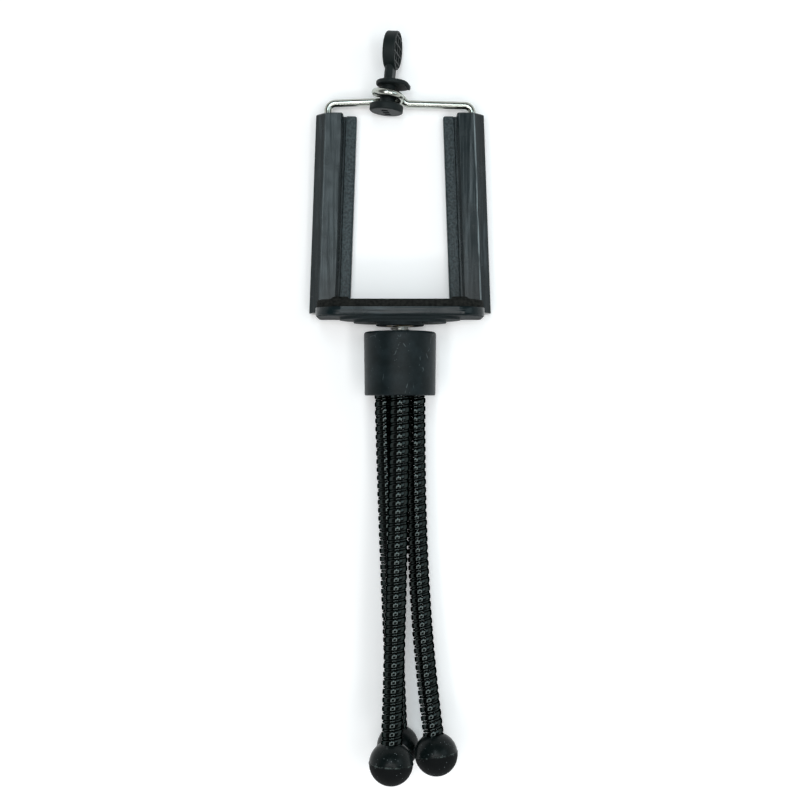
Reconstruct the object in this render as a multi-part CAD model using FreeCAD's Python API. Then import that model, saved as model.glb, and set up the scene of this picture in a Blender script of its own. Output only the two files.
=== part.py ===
import FreeCAD, Part
import math
import os
from FreeCAD import Vector

os.makedirs("parts", exist_ok=True)

# A pocket tripod with wound flexible legs and a spring clamp that holds a phone. It lies on its back.
# Millimetres. X runs across the clamp, Y from the feet along the stud to the pull tab, Z up from the table.
# Everything is drawn with the stud's axis on Y and the hub's top face at y = 0, and moved on export.

# Hub and stud
HUB_TOP_RADIUS = 11.7
HUB_FOOT_RADIUS = 11.45
HUB_HEIGHT = 20.5
HUB_EDGE = 0.9
HUB_FOOT_EDGE = 0.4
STUD_RADIUS = 3.14
STUD_HEIGHT = 6.4
STUD_TIP = 0.6
STUD_HEAD_ACROSS = 10.0
STUD_HEAD_HEIGHT = 3.5
STUD_HEAD_DEPTH = 6.0
SOCKET_CIRCLE = 5.7
SOCKET_RADIUS = 3.45
SOCKET_DEPTH = 9.0
COUNTERSINK_RADIUS = 4.7
COUNTERSINK_DEPTH = 1.6

# Wound legs and ball feet
LEG_DROP = 115.0
LEG_BAND_RADIUS = 3.4
LEG_GROOVE_RADIUS = 3.0
LEG_PITCH = 2.65
LEG_BAND_SHARE = 0.58
LEG_SIDES = 14
BALL_RADIUS = 6.9
BALL_SOCKET = 5.0
BALL_MOUTH = 2.0
SEAM_WIDTH = 0.4
SEAM_STEP = 0.12
AXIS_HEIGHT = 12.25
# name: socket angle from straight up, the foot's x and z about the stud's axis, how late the leg bends
LEGS = {
    "front": (0.0, -2.8, 12.8, 1.3),
    "left": (-120.0, -0.7, BALL_RADIUS + SEAM_STEP - AXIS_HEIGHT, 1.2),
    "right": (120.0, 11.6, 3.3, 2.5),
}

# Clamp base, measured up from the boss's lower face
THREAD_SHOWING = 2.0
BOSS_RADIUS = 7.75
STEP_LEVELS = ((0.9, 30.0, 15.6), (1.8, 39.0, 17.4))
PLATE_BOTTOM = 2.7
PLATE_THICK = 2.9
PLATE_HALF_WIDTH = 27.25
PLATE_FRONT = 9.75
PLATE_CORNER = 8.5
PLATE_BACK_CORNER = 1.5
PLATE_LOWER_EDGE = 0.8
PLATE_OFF_TABLE = 0.3
STEP_FLAT = 0.4
POST_POCKET = 1.0
INSERT_RADIUS = 4.4
INSERT_BORE = 3.2
INSERT_HEIGHT = 4.9
INSERT_DEPTH = 4.45
PAD_THICK = 2.5
PAD_INSET = 0.35
PAD_CLEARANCE = 0.25
PAD_INNER_CORNER = 0.5
LOBE_WIDTH = 6.3
LOBE_DEPTH = 2.6
LOBE_RISE = 1.5
LOBE_SLOPE = 1.2

# Clamp posts: a beveled box with a thinner flange on its inner side
POST_TOP = 70.0
POST_OUTER_BOTTOM = 29.9
POST_OUTER_TOP = 27.6
POST_BOX_WIDTH = 9.0
POST_DEPTH = 9.0
POST_BEVEL = 3.4
POST_FLANGE_WIDTH = 4.3
POST_FLANGE_DEPTH = 3.9
POST_BACK_EDGE = 1.0
POST_INNER_EDGE = 0.5
POST_GROOVE = 0.6
POST_GROOVE_SLOPE = 0.3
POST_RIM = 0.35
POST_GUIDE = 5.0
SCREW_X = 18.6
SCREW_FROM_TABLE = 2.2
SCREW_RADIUS = 1.1
SCREW_HEAD_RADIUS = 1.6
SCREW_HEAD_HEIGHT = 1.2
SCREW_LENGTH = 11.0

# Wire bail and its springs. The eye is one turn of the wire about a leaning axis.
WIRE_RADIUS = 1.25
WIRE_GUIDE_RADIUS = 1.31
WIRE_LEG_X = 23.8
WIRE_BEND = 2.5
WIRE_END = 12.5
CORNER_LEFT = 73.9
CORNER_RIGHT = 73.2
EYE_X = -4.0
EYE_LEVEL = 75.55
EYE_RADIUS = 4.15
EYE_RISE = 2.7
EYE_LEAN = 6.0
EYE_LEAD_IN = 3.0
EYE_LEAD_OUT = 3.9
DIP_X = 1.8
DIP_LEVEL = 73.8
COLLAR_RADIUS = 2.2
COLLAR_HEIGHT = 2.0
SPRING_BORE = 2.45
SPRING_RADIUS = 1.9
SPRING_WIRE = 0.5
SPRING_TURNS = 14
SPRING_STEPS = 10

# Pull tab, measured along its own axis from the middle of the eye
PAD_RADIUS = 5.5
PAD_TOP = -3.05
PAD_BOTTOM = -5.55
PAD_EDGE = 0.6
PAD_POCKET_PITCH = 2.3
PAD_POCKET = (1.5, 1.0, 2.2)
WAIST_RADIUS = 2.45
FLANGE_RADIUS = 5.7
FLANGE_SHIFT = 1.5
FLANGE_BOTTOM = 2.95
FLANGE_THICK = 1.4
FLANGE_FOLD = 5.75
FOLD_RADIUS = 2.0
FLANGE_EDGE = 0.5
NECK_BREADTH = 6.0
NECK_THICK = 2.7
NECK_BEVEL = 0.7
DISC_RISE = 14.8
DISC_RADIUS = 6.2
DISC_THICK = 4.0
DISC_EDGE = 0.6
WAFFLE_RADIUS = 5.5
WAFFLE_PITCH = 2.7
WAFFLE_RIDGE = 0.45
WAFFLE_DEPTH = 0.4
TAB_TURN = 78.0
# How far one moulded form runs into the next, and how far a cutting tool runs past a face
LAP = 0.5
OVERRUN = 1.0

POST_LEAN = POST_OUTER_BOTTOM - POST_OUTER_TOP
PLATE_TOP = PLATE_BOTTOM + PLATE_THICK
POST_BOTTOM = PLATE_TOP - POST_POCKET
POST_Z = POST_DEPTH / 2 - AXIS_HEIGHT
EYE_TILT = math.asin(EYE_RISE / (4 * EYE_RADIUS))
EYE_CENTRE = Vector(EYE_X, EYE_LEVEL, POST_Z + EYE_RADIUS * math.cos(EYE_TILT))
TAB_TOP = EYE_LEVEL + DISC_RISE * math.cos(math.radians(EYE_LEAN)) + DISC_RADIUS
FOOT_END = HUB_HEIGHT + LEG_DROP + BALL_RADIUS
HUB_TOP_Y = (FOOT_END - THREAD_SHOWING - TAB_TOP) / 2
LIFT = Vector(0, THREAD_SHOWING, 0)
UP = Vector(0, 1, 0)


def export(name, shape):
    shape.translate(Vector(0, HUB_TOP_Y, AXIS_HEIGHT))
    shape.exportStep("parts/" + name + ".step")


def rod(radius, low, high, x=0.0, z=0.0):
    return Part.makeCylinder(radius, high - low, Vector(x, low, z), UP)


def outline(points):
    return Part.Face(Part.makePolygon(points + points[:1]))


def rounded_plate(half_width, back, front, low, high, back_corner, front_corner):
    body = Part.makeBox(2 * half_width, high - low, front - back, Vector(-half_width, low, back))
    uprights = [e for e in body.Edges if abs(e.tangentAt(e.FirstParameter).y) > 0.9]
    front_edges = [e for e in uprights if e.CenterOfMass.z > (front + back) / 2]
    body = body.makeFillet(front_corner, front_edges)
    uprights = [e for e in body.Edges if abs(e.CenterOfMass.z - back) < 0.01]
    back_edges = [e for e in uprights if abs(e.tangentAt(e.FirstParameter).y) > 0.9]
    return body.makeFillet(back_corner, back_edges)


def skin(rings, flat):
    """A closed solid through rings of points, with flat four-sided faces or with triangles."""
    faces = [outline(rings[0]), outline(rings[-1])]
    count = len(rings[0])
    for low, high in zip(rings, rings[1:]):
        for i in range(count):
            j = (i + 1) % count
            if flat:
                faces.append(outline([low[i], low[j], high[j], high[i]]))
            else:
                faces.append(outline([low[i], low[j], high[j]]))
                faces.append(outline([low[i], high[j], high[i]]))
    return Part.makeSolid(Part.makeShell(faces))


def leg_point(angle, foot_x, foot_z, lateness, drop):
    """The leg's centre line: straight in its socket, then a bend that grows towards the foot."""
    root_x = SOCKET_CIRCLE * math.sin(math.radians(angle))
    root_z = SOCKET_CIRCLE * math.cos(math.radians(angle))
    share = max(drop, 0.0) / LEG_DROP
    bend = share ** lateness
    return Vector(root_x + (foot_x - root_x) * bend, -HUB_HEIGHT - drop, root_z + (foot_z - root_z) * bend)


def gooseneck(leg):
    """Flat bands with a groove between them, one for each turn of the winding."""
    end = LEG_DROP - BALL_RADIUS + BALL_SOCKET
    turns = int((end + SOCKET_DEPTH) / LEG_PITCH)
    pitch = (end + SOCKET_DEPTH) / turns
    levels = []
    for turn in range(turns):
        start = -SOCKET_DEPTH + turn * pitch
        groove = pitch * (1 - LEG_BAND_SHARE)
        levels.append((start, LEG_GROOVE_RADIUS))
        levels.append((start + groove / 2, LEG_BAND_RADIUS))
        levels.append((start + pitch - groove / 2, LEG_BAND_RADIUS))
    levels.append((end, LEG_GROOVE_RADIUS))
    rings = []
    for drop, radius in levels:
        middle = leg_point(*leg, drop)
        ring = []
        for i in range(LEG_SIDES):
            a = 2 * math.pi * i / LEG_SIDES
            ring.append(middle + Vector(radius * math.cos(a), 0, radius * math.sin(a)))
        rings.append(ring)
    return skin(rings, True)


def foot(leg):
    """A moulded ball with a parting seam, pushed on to the end of its leg."""
    middle = leg_point(*leg, LEG_DROP)
    end = leg_point(*leg, LEG_DROP - BALL_RADIUS + BALL_SOCKET)
    mouth = leg_point(*leg, LEG_DROP - BALL_RADIUS - BALL_MOUTH)
    along = Vector(end).sub(mouth)
    ball = Part.makeSphere(BALL_RADIUS)
    seam = Part.makeCylinder(BALL_RADIUS + SEAM_STEP, SEAM_WIDTH, Vector(0, 0, -SEAM_WIDTH / 2))
    ball = ball.fuse(seam).removeSplitter()
    ball.Placement = FreeCAD.Placement(middle, FreeCAD.Rotation(Vector(0, 0, 1), along))
    ring = Part.Circle(mouth, UP, SOCKET_RADIUS).toShape()
    return ball.cut(Part.Face(Part.Wire([ring])).extrude(along))


def stud():
    thread = rod(STUD_RADIUS, -STUD_HEAD_DEPTH, STUD_HEIGHT)
    tip = [e for e in thread.Edges if abs(e.CenterOfMass.y - STUD_HEIGHT) < 0.01]
    thread = thread.makeChamfer(STUD_TIP, tip)
    corners = []
    for i in range(6):
        a = math.radians(60 * i)
        r = STUD_HEAD_ACROSS / 2 / math.cos(math.radians(30))
        corners.append(Vector(r * math.cos(a), -STUD_HEAD_DEPTH - STUD_HEAD_HEIGHT, r * math.sin(a)))
    head = outline(corners).extrude(UP * STUD_HEAD_HEIGHT)
    return thread.fuse(head).removeSplitter()


def hub():
    body = Part.makeCone(HUB_FOOT_RADIUS, HUB_TOP_RADIUS, HUB_HEIGHT, Vector(0, -HUB_HEIGHT, 0), UP)
    rims = [e for e in body.Edges if isinstance(e.Curve, Part.Circle)]
    body = body.makeFillet(HUB_EDGE, [e for e in rims if e.CenterOfMass.y > -1])
    rims = [e for e in body.Edges if isinstance(e.Curve, Part.Circle)]
    body = body.makeFillet(HUB_FOOT_EDGE, [e for e in rims if e.CenterOfMass.y < -HUB_HEIGHT + 0.1])
    tools = [stud()]
    for leg in LEGS.values():
        root = leg_point(*leg, 0.0)
        tools.append(rod(SOCKET_RADIUS, -HUB_HEIGHT - OVERRUN, -HUB_HEIGHT + SOCKET_DEPTH, root.x, root.z))
        sink = Part.makeCone(COUNTERSINK_RADIUS, SOCKET_RADIUS, COUNTERSINK_DEPTH, root, UP)
        tools.append(sink)
    return body.cut(tools)


def post_section(side, level):
    """The right post's cross-section at the given height, or the left one's mirror image."""
    climb = (level - POST_BOTTOM) / (POST_TOP - POST_BOTTOM)
    outer = POST_OUTER_BOTTOM - POST_LEAN * climb
    inner = outer - POST_BOX_WIDTH
    back = -AXIS_HEIGHT
    front = back + POST_DEPTH
    flange = back + POST_FLANGE_DEPTH
    profile = [
        (outer - POST_BACK_EDGE, back),
        (outer, back + POST_BACK_EDGE),
        (outer, front - POST_BEVEL),
        (outer - POST_BEVEL, front),
        (inner + POST_INNER_EDGE, front),
        (inner, front - POST_INNER_EDGE),
        (inner, flange - POST_GROOVE),
        (inner - POST_GROOVE, flange - POST_GROOVE),
        (inner - POST_GROOVE - POST_GROOVE_SLOPE, flange),
        (inner - POST_FLANGE_WIDTH + POST_INNER_EDGE, flange),
        (inner - POST_FLANGE_WIDTH, flange - POST_INNER_EDGE),
        (inner - POST_FLANGE_WIDTH, back),
    ]
    return outline([Vector(side * x, level, z) for x, z in profile])


def post_blank(side):
    """The post leans inward, so its section is pushed up along a slant."""
    lean = Vector(-side * POST_LEAN, POST_TOP - POST_BOTTOM, 0)
    return post_section(side, POST_BOTTOM).extrude(lean)


def post(side):
    body = post_blank(side)
    rim = [e for e in body.Edges if abs(e.CenterOfMass.y - POST_TOP) < 0.01]
    body = body.makeChamfer(POST_RIM, rim)
    x = side * WIRE_LEG_X
    guide = rod(WIRE_GUIDE_RADIUS, POST_TOP - POST_GUIDE - OVERRUN, POST_TOP + OVERRUN, x, POST_Z)
    chamber = rod(SPRING_BORE, POST_BOTTOM - OVERRUN, POST_TOP - POST_GUIDE, x, POST_Z)
    return body.cut([guide, chamber, screw(side)])


def screw(side):
    x = side * SCREW_X
    z = SCREW_FROM_TABLE - AXIS_HEIGHT
    head = rod(SCREW_HEAD_RADIUS, PLATE_BOTTOM, PLATE_BOTTOM + SCREW_HEAD_HEIGHT, x, z)
    shank = rod(SCREW_RADIUS, PLATE_BOTTOM, PLATE_BOTTOM + SCREW_LENGTH, x, z)
    return head.fuse(shank).removeSplitter()


def thread_insert():
    return rod(INSERT_RADIUS, 0, INSERT_HEIGHT).cut(rod(INSERT_BORE, -OVERRUN, INSERT_DEPTH))


def clamp_base():
    back = -AXIS_HEIGHT + PLATE_OFF_TABLE
    corners = (PLATE_BACK_CORNER, PLATE_CORNER)
    plate = rounded_plate(PLATE_HALF_WIDTH, back, PLATE_FRONT, PLATE_BOTTOM, PLATE_TOP, *corners)
    lower = [e for e in plate.Edges if abs(e.BoundBox.YMax - PLATE_BOTTOM) < 0.01]
    plate = plate.makeFillet(PLATE_LOWER_EDGE, lower)
    under = [rod(BOSS_RADIUS, 0, PLATE_BOTTOM)]
    for level, width, depth in STEP_LEVELS:
        corner = (depth - STEP_FLAT) / 2
        step = rounded_plate(width / 2, -depth / 2, depth / 2, level, PLATE_BOTTOM, corner, corner)
        under.append(step)
    body = plate.fuse(under).removeSplitter()
    tools = [rod(INSERT_RADIUS, -OVERRUN, INSERT_HEIGHT)]
    for side in (-1, 1):
        tools.append(post_blank(side))
        tools.append(screw(side))
    return body.cut(tools)


def shelf_pad():
    """One sheet of foam: it fills the shelf, runs back between the posts and stands up against them."""
    low = PLATE_TOP
    high = PLATE_TOP + PAD_THICK
    half = PLATE_HALF_WIDTH - PAD_INSET
    front = PLATE_FRONT - PAD_INSET
    shelf_back = -AXIS_HEIGHT + POST_DEPTH + PAD_CLEARANCE
    shelf = rounded_plate(half, shelf_back, front, low, high, PAD_INNER_CORNER, PLATE_CORNER - PAD_INSET)
    inner = POST_OUTER_BOTTOM - POST_BOX_WIDTH - POST_GROOVE
    back = -AXIS_HEIGHT + POST_FLANGE_DEPTH + PAD_CLEARANCE
    pieces = [Part.makeBox(2 * inner, PAD_THICK, shelf_back + LAP - back, Vector(-inner, low, back))]
    start = POST_OUTER_BOTTOM - POST_BOX_WIDTH - POST_FLANGE_WIDTH
    profile = [
        (start, low),
        (start + LOBE_WIDTH, low),
        (start + LOBE_WIDTH, high + LOBE_RISE - LOBE_SLOPE),
        (start + LOBE_WIDTH - LOBE_SLOPE, high + LOBE_RISE),
        (start, high + LOBE_RISE),
    ]
    for side in (-1, 1):
        face = outline([Vector(side * x, y, shelf_back) for x, y in profile])
        pieces.append(face.extrude(Vector(0, 0, LOBE_DEPTH)))
    return shelf.fuse(pieces).removeSplitter()


def rounded_run(points):
    """Straight runs through the points, with a tangent arc in place of each inner corner."""
    edges = []
    start = points[0]
    for corner, after in zip(points[1:-1], points[2:]):
        into = (corner - start).normalize()
        away = (after - corner).normalize()
        half = into.getAngle(away) / 2
        reach = WIRE_BEND * math.tan(half)
        inward = (away - into).normalize()
        middle = corner + inward * (WIRE_BEND / math.cos(half) - WIRE_BEND)
        arc_end = corner + away * reach
        edges.append(Part.makeLine(start, corner - into * reach))
        edges.append(Part.Arc(corner - into * reach, middle, arc_end).toShape())
        start = arc_end
    edges.append(Part.makeLine(start, points[-1]))
    return edges


def wire_along(edges):
    """Round wire along straight runs and tangent arcs."""
    pieces = []
    for edge in edges:
        start = edge.valueAt(edge.FirstParameter)
        heading = edge.tangentAt(edge.FirstParameter)
        disc = Part.Face(Part.Wire([Part.Circle(start, heading, WIRE_RADIUS).toShape()]))
        if isinstance(edge.Curve, Part.Circle):
            sweep = math.degrees(edge.LastParameter - edge.FirstParameter)
            pieces.append(disc.revolve(edge.Curve.Center, edge.Curve.Axis, sweep))
        else:
            pieces.append(disc.extrude(heading * edge.Length))
    return pieces[0].fuse(pieces[1:]).removeSplitter()


def bail_wire():
    """One wire: up the left post, one turn round the tab's waist, a dip, and down the right post."""
    lean = math.radians(EYE_LEAN)
    across = Vector(math.cos(lean), -math.sin(lean), 0)
    along = Vector(math.sin(lean), math.cos(lean), 0)
    front = Vector(0, 0, 1)
    climb = front * math.cos(EYE_TILT) + along * math.sin(EYE_TILT)
    fall = along * math.sin(EYE_TILT) - front * math.cos(EYE_TILT)
    back = EYE_CENTRE - front * (EYE_RADIUS * math.cos(EYE_TILT))
    enter = back - along * (EYE_RISE / 2)
    middle = enter + climb * (2 * EYE_RADIUS)
    leave = middle + fall * (2 * EYE_RADIUS)
    near = Part.Arc(enter, enter + (climb + across) * EYE_RADIUS, middle).toShape()
    far = Part.Arc(middle, middle + (fall - across) * EYE_RADIUS, leave).toShape()
    left = rounded_run([
        Vector(-WIRE_LEG_X, WIRE_END, POST_Z),
        Vector(-WIRE_LEG_X, CORNER_LEFT, POST_Z),
        enter - across * EYE_LEAD_IN,
        enter,
    ])
    right = rounded_run([
        leave,
        leave + across * EYE_LEAD_OUT,
        Vector(DIP_X, DIP_LEVEL, POST_Z),
        Vector(WIRE_LEG_X, CORNER_RIGHT, POST_Z),
        Vector(WIRE_LEG_X, WIRE_END, POST_Z),
    ])
    return wire_along(left + [near, far] + right)


def collar(side):
    x = side * WIRE_LEG_X
    ring = rod(COLLAR_RADIUS, WIRE_END, WIRE_END + COLLAR_HEIGHT, x, POST_Z)
    return ring.cut(rod(WIRE_RADIUS, WIRE_END - OVERRUN, WIRE_END + COLLAR_HEIGHT + OVERRUN, x, POST_Z))


def spring(side):
    """A compression spring on the wire's leg, between the collar and the roof of the post's chamber."""
    low = WIRE_END + COLLAR_HEIGHT + SPRING_WIRE / 2
    high = POST_TOP - POST_GUIDE - SPRING_WIRE / 2
    count = SPRING_TURNS * SPRING_STEPS
    half = SPRING_WIRE / 2
    rings = []
    for step in range(count + 1):
        a = 2 * math.pi * step / SPRING_STEPS
        level = low + (high - low) * step / count
        out = Vector(math.cos(a), 0, math.sin(a))
        middle = Vector(side * WIRE_LEG_X, level, POST_Z)
        rings.append([
            middle + out * (SPRING_RADIUS - half) - UP * half,
            middle + out * (SPRING_RADIUS + half) - UP * half,
            middle + out * (SPRING_RADIUS + half) + UP * half,
            middle + out * (SPRING_RADIUS - half) + UP * half,
        ])
    return skin(rings, False)


def tab_pad():
    """The round pad that presses on a phone, with a row of small pockets in its face."""
    pad = rod(PAD_RADIUS, PAD_BOTTOM, PAD_TOP)
    pad = pad.makeFillet(PAD_EDGE, [e for e in pad.Edges if e.BoundBox.YLength < 0.01])
    wide, deep, long = PAD_POCKET
    pockets = []
    for step in (-1, 0, 1):
        corner = Vector(PAD_POCKET_PITCH * step - wide / 2, PAD_BOTTOM - OVERRUN, -long / 2)
        pockets.append(Part.makeBox(wide, deep + OVERRUN, long, corner))
    return pad.cut(pockets)


def tab_flange():
    """A soft disc over the eye, folded down on one side."""
    low = FLANGE_BOTTOM
    high = FLANGE_BOTTOM + FLANGE_THICK
    reach = FLANGE_SHIFT + FLANGE_RADIUS + OVERRUN
    corner = FLANGE_FOLD + FLANGE_THICK * math.tan(math.radians(22.5))
    profile = [
        (-reach, low),
        (FLANGE_FOLD, low),
        (reach, low - reach + FLANGE_FOLD),
        (reach, high - reach + corner),
        (corner, high),
        (-reach, high),
    ]
    sheet = outline([Vector(-reach, y, z) for z, y in profile]).extrude(Vector(2 * reach, 0, 0))
    fold = [e for e in sheet.Edges if abs(e.CenterOfMass.z - corner) < 0.01 and e.BoundBox.XLength > reach]
    sheet = sheet.makeFillet(FOLD_RADIUS, fold)
    disc = sheet.common(rod(FLANGE_RADIUS, low - reach, high + OVERRUN, 0, FLANGE_SHIFT))
    rim = [e for e in disc.Edges if not isinstance(e.Curve, Part.Line)]
    return disc.makeFillet(FLANGE_EDGE, rim)


def tab_disc():
    """The finger disc, with a waffle of thin ridges sunk into both faces."""
    disc = Part.makeCylinder(DISC_RADIUS, DISC_THICK, Vector(0, DISC_RISE, -DISC_THICK / 2), Vector(0, 0, 1))
    disc = disc.makeFillet(DISC_EDGE, [e for e in disc.Edges if isinstance(e.Curve, Part.Circle)])
    length = 2 * DISC_RADIUS
    for low in (-DISC_THICK / 2, DISC_THICK / 2 - WAFFLE_DEPTH):
        sunk = Part.makeCylinder(WAFFLE_RADIUS, WAFFLE_DEPTH, Vector(0, DISC_RISE, low), Vector(0, 0, 1))
        ridges = []
        for step in (-1.5, -0.5, 0.5, 1.5):
            at = step * WAFFLE_PITCH - WAFFLE_RIDGE / 2
            upright = Vector(at, DISC_RISE - DISC_RADIUS, low)
            level = Vector(-DISC_RADIUS, DISC_RISE + at, low)
            ridges.append(Part.makeBox(WAFFLE_RIDGE, length, WAFFLE_DEPTH, upright))
            ridges.append(Part.makeBox(length, WAFFLE_RIDGE, WAFFLE_DEPTH, level))
        disc = disc.cut(sunk.cut(ridges))
    return disc


def pull_tab():
    """A soft moulding: a pad below the eye, a waist in it, a flange above it, a neck and a finger disc."""
    waist = rod(WAIST_RADIUS, PAD_TOP - LAP, FLANGE_BOTTOM + LAP)
    neck_foot = FLANGE_BOTTOM + FLANGE_THICK - LAP
    neck_top = DISC_RISE - math.sqrt(DISC_RADIUS ** 2 - NECK_BREADTH ** 2 / 4) + LAP
    neck_corner = Vector(-NECK_BREADTH / 2, neck_foot, -NECK_THICK / 2)
    neck = Part.makeBox(NECK_BREADTH, neck_top - neck_foot, NECK_THICK, neck_corner)
    neck = neck.makeChamfer(NECK_BEVEL, [e for e in neck.Edges if e.BoundBox.YLength > 1])
    body = tab_pad().fuse([waist, tab_flange(), neck, tab_disc()]).removeSplitter()
    body.rotate(Vector(0, 0, 0), UP, TAB_TURN)
    body.rotate(Vector(0, 0, 0), Vector(0, 0, 1), -EYE_LEAN)
    body.translate(EYE_CENTRE)
    return body


nodes = {"hub": hub(), "stud": stud()}
for leg_name, leg_shape in LEGS.items():
    nodes["gooseneck_" + leg_name] = gooseneck(leg_shape)
    nodes["foot_" + leg_name] = foot(leg_shape)
clamp = {
    "clamp_base": clamp_base(),
    "thread_insert": thread_insert(),
    "shelf_pad": shelf_pad(),
    "post_screws": Part.makeCompound([screw(-1), screw(1)]),
    "bail_wire": bail_wire(),
    "pull_tab": pull_tab(),
}
for side_name, side in (("left", -1), ("right", 1)):
    clamp[side_name + "_post"] = post(side)
    clamp[side_name + "_collar"] = collar(side)
    clamp[side_name + "_spring"] = spring(side)
for name, shape in clamp.items():
    shape.translate(LIFT)
    nodes[name] = shape
for name, shape in nodes.items():
    export(name, shape)
    print("%-16s valid %s  solids %d  volume %.1f" % (name, shape.isValid(), len(shape.Solids), shape.Volume))
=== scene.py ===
# %% [markdown]
# # A flexible phone tripod, dressed in Blender
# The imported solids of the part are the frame: every piece below is placed in their coordinates, in
# metres. The part lies on its back: X runs across the clamp, Y from the ball feet to the pull tab, Z up
# from the table. Most solids only take a finish. The wound legs, the stud's thread, the springs and the
# foam are drawn anew, because their real form is finer or softer than a collision solid needs.

# %% Load the frame
import math
import bpy
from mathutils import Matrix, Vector


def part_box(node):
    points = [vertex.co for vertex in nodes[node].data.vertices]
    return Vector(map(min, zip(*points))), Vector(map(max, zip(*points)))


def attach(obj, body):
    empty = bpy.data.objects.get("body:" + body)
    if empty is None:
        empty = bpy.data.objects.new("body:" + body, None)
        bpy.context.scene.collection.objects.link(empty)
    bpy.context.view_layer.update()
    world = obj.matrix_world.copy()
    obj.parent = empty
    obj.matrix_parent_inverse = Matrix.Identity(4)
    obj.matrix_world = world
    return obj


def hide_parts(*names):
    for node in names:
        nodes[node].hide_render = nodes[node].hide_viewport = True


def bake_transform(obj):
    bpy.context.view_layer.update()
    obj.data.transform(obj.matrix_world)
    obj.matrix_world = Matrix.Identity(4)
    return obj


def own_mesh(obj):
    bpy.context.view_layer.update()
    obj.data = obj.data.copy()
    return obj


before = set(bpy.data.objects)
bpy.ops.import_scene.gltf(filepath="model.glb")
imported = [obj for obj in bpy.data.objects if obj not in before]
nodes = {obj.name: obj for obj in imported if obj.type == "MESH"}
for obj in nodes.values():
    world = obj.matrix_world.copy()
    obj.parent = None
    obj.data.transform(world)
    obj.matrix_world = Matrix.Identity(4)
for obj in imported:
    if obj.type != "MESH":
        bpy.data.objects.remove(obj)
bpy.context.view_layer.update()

# %% [markdown]
# Sizes come from the solids wherever they can be read there, so that a new pack moves the dressing with
# it. The rest repeats the part's own driving dimensions, in millimetres, and one factor takes them to
# metres. A leg's centre line could be a curve object. A formula was chosen, because the winding, the
# feet's seams and the bend of the legs all ask for points on it.

# %% Sizes that the pieces share
MM = 0.001
hub_low, hub_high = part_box("hub")
HUB_FOOT = hub_low.y
STUD_AXIS = Vector(((hub_low.x + hub_high.x) / 2, 0, (hub_low.z + hub_high.z) / 2))
LEG_DROP = 115 * MM
SOCKET_CIRCLE = 5.7 * MM
SOCKET_DEPTH = 9 * MM
BALL_RADIUS = 6.9 * MM
# socket angle from straight up in degrees, the foot's x and z about the stud's axis in mm,
# and how late the leg bends
LEGS = {
    "front": (0.0, -2.8, 12.8, 1.3),
    "left": (-120.0, -0.7, -5.23, 1.2),
    "right": (120.0, 11.6, 3.3, 2.5),
}


def leg_point(angle, foot_x, foot_z, lateness, drop):
    turn = math.radians(angle)
    root = Vector((SOCKET_CIRCLE * math.sin(turn), 0, SOCKET_CIRCLE * math.cos(turn)))
    foot = Vector((foot_x * MM, 0, foot_z * MM))
    bend = (max(drop, 0.0) / LEG_DROP) ** lateness
    return STUD_AXIS + root.lerp(foot, bend) + Vector((0, HUB_FOOT - drop, 0))


print("stud axis at x %.2f z %.2f mm, hub foot at y %.2f mm"
      % (STUD_AXIS.x / MM, STUD_AXIS.z / MM, HUB_FOOT / MM))

# %% [markdown]
# ## Materials
# A material here is a small graph of nodes. One helper adds a node, sets its values and links its
# inputs, so that each material below reads as a list of what it is made of. Colours are written as sRGB
# hex, as a paint chart would give them, and turned to the linear numbers that the renderer works in.
# Patterns could be laid on with a UV map, but these solids have none: all of them take their place from
# the object's own coordinates, which are metres, so a pattern's scale is one over its real size.

# %% The helpers for materials
def linear(code):
    values = [int(code[i:i + 2], 16) / 255 for i in (1, 3, 5)]
    return [v / 12.92 if v <= 0.04045 else ((v + 0.055) / 1.055) ** 2.4 for v in values] + [1.0]


def socket(node, name):
    if isinstance(name, int):
        return node.inputs[name]
    return next(s for s in node.inputs if s.enabled and s.name == name)


def link(tree, node, sources):
    for name, source in sources.items():
        if isinstance(source, bpy.types.Node):
            source = next(s for s in source.outputs if s.enabled)
        tree.links.new(source, socket(node, name))


def add(tree, kind, values=None, links=None, **settings):
    made = tree.nodes.new(kind)
    for name, value in settings.items():
        setattr(made, name, value)
    for name, value in (values or {}).items():
        socket(made, name).default_value = value
    link(tree, made, links or {})
    return made


def start(name, constants):
    material = bpy.data.materials.new(name)
    material.use_nodes = True
    tree = material.node_tree
    shader = tree.nodes["Principled BSDF"]
    for key, value in constants.items():
        shader.inputs[key].default_value = value
    place = add(tree, "ShaderNodeTexCoord").outputs["Object"]
    return material, tree, shader, place


print("helpers ready, mid grey #808080 is", round(linear("#808080")[0], 3))

# %% [markdown]
# ### Hub: moulded ABS, fine satin
# A small injection moulding in black ABS, straight from an eroded tool. It has an even satin sheen,
# cloudy smudges from handling, a few hairline scratches and specks of dust. One flat black would look
# cut out of paper, so each of these is a pattern of its own. The smudges are a soft noise. The
# scratches are the edges of a large cell pattern, broken up by a second noise so that only short
# stretches show, and the dust is a cell pattern cut down to dots.

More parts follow.
